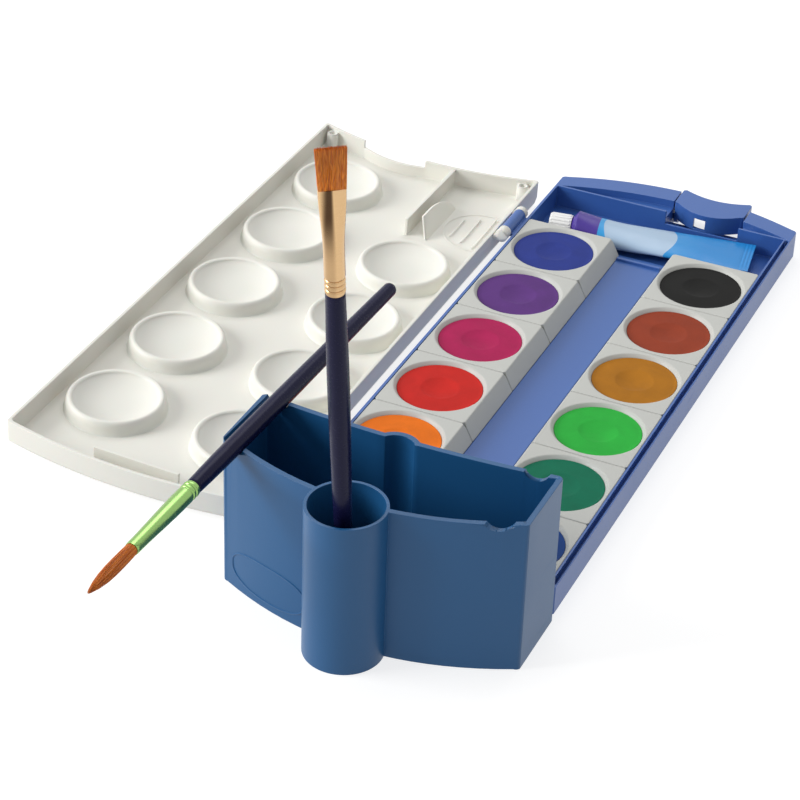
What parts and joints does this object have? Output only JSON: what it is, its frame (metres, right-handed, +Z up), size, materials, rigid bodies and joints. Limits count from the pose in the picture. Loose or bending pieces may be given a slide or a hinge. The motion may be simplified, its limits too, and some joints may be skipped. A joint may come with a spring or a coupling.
{
  "type": "gouache paint set",
  "caption": "Shallow paint tray with lift-out colour pans and a paint tube, a hinged lid with mixing wells, a water cup and two brushes",
  "frame": {"origin": "middle of the tray's underside, on the table", "axes": "+X towards the tray's long side away from the hinge, +Y along the tray towards the latch, +Z up"},
  "size_m": [0.198, 0.3793, 0.1884],
  "materials": {
    "blue_plastic": "moulded, satin gloss",
    "white_plastic": "moulded, satin gloss",
    "grey_plastic": "moulded, satin gloss",
    "cup_plastic": "moulded, glossy",
    "tube_foil": "printed aluminium foil",
    "cap_plastic": "moulded, fluted",
    "lacquer": "dark blue lacquer",
    "gold_ferrule": "polished, anodised",
    "green_ferrule": "polished, anodised",
    "hair": "synthetic hair",
    "paint_ultramarine": "dried gouache, matt",
    "paint_violet": "dried gouache, matt",
    "paint_magenta": "dried gouache, matt",
    "paint_red": "dried gouache, matt",
    "paint_orange": "dried gouache, matt",
    "paint_yellow": "dried gouache, matt",
    "paint_black": "dried gouache, matt",
    "paint_brown": "dried gouache, matt",
    "paint_ochre": "dried gouache, matt",
    "paint_light_green": "dried gouache, matt",
    "paint_dark_green": "dried gouache, matt",
    "paint_blue": "dried gouache, matt"
  },
  "bodies": {
    "tray": {"base_tray": "blue_plastic"},
    "lid": {"lid_tray": "white_plastic", "well_a1": "white_plastic", "well_a2": "white_plastic", "well_a3": "white_plastic", "well_a4": "white_plastic", "well_a5": "white_plastic", "well_b1": "white_plastic", "well_b2": "white_plastic", "well_b3": "white_plastic", "well_b4": "white_plastic"},
    "latch": {"latch": "blue_plastic"},
    "pan_left_1": {"pan_left_1": "grey_plastic", "paint_ultramarine": "paint_ultramarine"},
    "pan_left_2": {"pan_left_2": "grey_plastic", "paint_violet": "paint_violet"},
    "pan_left_3": {"pan_left_3": "grey_plastic", "paint_magenta": "paint_magenta"},
    "pan_left_4": {"pan_left_4": "grey_plastic", "paint_red": "paint_red"},
    "pan_left_5": {"pan_left_5": "grey_plastic", "paint_orange": "paint_orange"},
    "pan_left_6": {"pan_left_6": "grey_plastic", "paint_yellow": "paint_yellow"},
    "pan_right_1": {"pan_right_1": "grey_plastic", "paint_black": "paint_black"},
    "pan_right_2": {"pan_right_2": "grey_plastic", "paint_brown": "paint_brown"},
    "pan_right_3": {"pan_right_3": "grey_plastic", "paint_ochre": "paint_ochre"},
    "pan_right_4": {"pan_right_4": "grey_plastic", "paint_light_green": "paint_light_green"},
    "pan_right_5": {"pan_right_5": "grey_plastic", "paint_dark_green": "paint_dark_green"},
    "pan_right_6": {"pan_right_6": "grey_plastic", "paint_blue": "paint_blue"},
    "tube": {"tube_body": "tube_foil"},
    "cap": {"tube_cap": "cap_plastic"},
    "cup": {"water_cup": "cup_plastic"},
    "flat_brush": {"flat_handle": "lacquer", "flat_ferrule": "gold_ferrule", "flat_bristles": "hair"},
    "round_brush": {"round_handle": "lacquer", "round_ferrule": "green_ferrule", "round_bristles": "hair"}
  },
  "joints": [
    {"name": "lid_hinge", "type": "hinge", "parent": "tray", "child": "lid", "pos_m": [-0.0516, 0, 0.0108], "axis": [0, -1, 0], "range_deg": [-177.9, 0]},
    {"name": "latch_pivot", "type": "hinge", "parent": "tray", "child": "latch", "pos_m": [0.0127, 0.12925, 0.003], "axis": [-1, 0, 0], "range_deg": [0, 15], "stiffness_Nm_per_rad": 0.02},
    {"name": "pan_left_1_lift", "type": "slide", "parent": "tray", "child": "pan_left_1", "axis": [0, 0, 1], "range_m": [0, 0.03]},
    {"name": "pan_left_2_lift", "type": "slide", "parent": "tray", "child": "pan_left_2", "axis": [0, 0, 1], "range_m": [0, 0.03]},
    {"name": "pan_left_3_lift", "type": "slide", "parent": "tray", "child": "pan_left_3", "axis": [0, 0, 1], "range_m": [0, 0.03]},
    {"name": "pan_left_4_lift", "type": "slide", "parent": "tray", "child": "pan_left_4", "axis": [0, 0, 1], "range_m": [0, 0.03]},
    {"name": "pan_left_5_lift", "type": "slide", "parent": "tray", "child": "pan_left_5", "axis": [0, 0, 1], "range_m": [0, 0.03]},
    {"name": "pan_left_6_lift", "type": "slide", "parent": "tray", "child": "pan_left_6", "axis": [0, 0, 1], "range_m": [0, 0.03]},
    {"name": "pan_right_1_lift", "type": "slide", "parent": "tray", "child": "pan_right_1", "axis": [0, 0, 1], "range_m": [0, 0.03]},
    {"name": "pan_right_2_lift", "type": "slide", "parent": "tray", "child": "pan_right_2", "axis": [0, 0, 1], "range_m": [0, 0.03]},
    {"name": "pan_right_3_lift", "type": "slide", "parent": "tray", "child": "pan_right_3", "axis": [0, 0, 1], "range_m": [0, 0.03]},
    {"name": "pan_right_4_lift", "type": "slide", "parent": "tray", "child": "pan_right_4", "axis": [0, 0, 1], "range_m": [0, 0.03]},
    {"name": "pan_right_5_lift", "type": "slide", "parent": "tray", "child": "pan_right_5", "axis": [0, 0, 1], "range_m": [0, 0.03]},
    {"name": "pan_right_6_lift", "type": "slide", "parent": "tray", "child": "pan_right_6", "axis": [0, 0, 1], "range_m": [0, 0.03]},
    {"name": "tube_lift", "type": "slide", "parent": "tray", "child": "tube", "axis": [0, 0, 1], "range_m": [0, 0.03]},
    {"name": "cap_turn", "type": "hinge", "parent": "tube", "child": "cap", "pos_m": [-0.03682, 0.09448, 0.0078], "axis": [0.9882, 0.153, 0], "continuous": true},
    {"name": "cup_slide", "type": "slide", "parent": "tray", "child": "cup", "axis": [0, -1, 0], "range_m": [0, 0.181]},
    {"name": "flat_brush_lift", "type": "slide", "parent": "cup", "child": "flat_brush", "axis": [0.045, -0.1889, 0.981], "range_m": [0, 0.07]},
    {"name": "round_brush_lift", "type": "slide", "parent": "cup", "child": "round_brush", "axis": [0, 0, 1], "range_m": [0, 0.05]}
  ],
  "couplings": [
    {"joint": "cup_slide", "follows": "lid_hinge", "m_per_rad": -0.058}
  ]
}
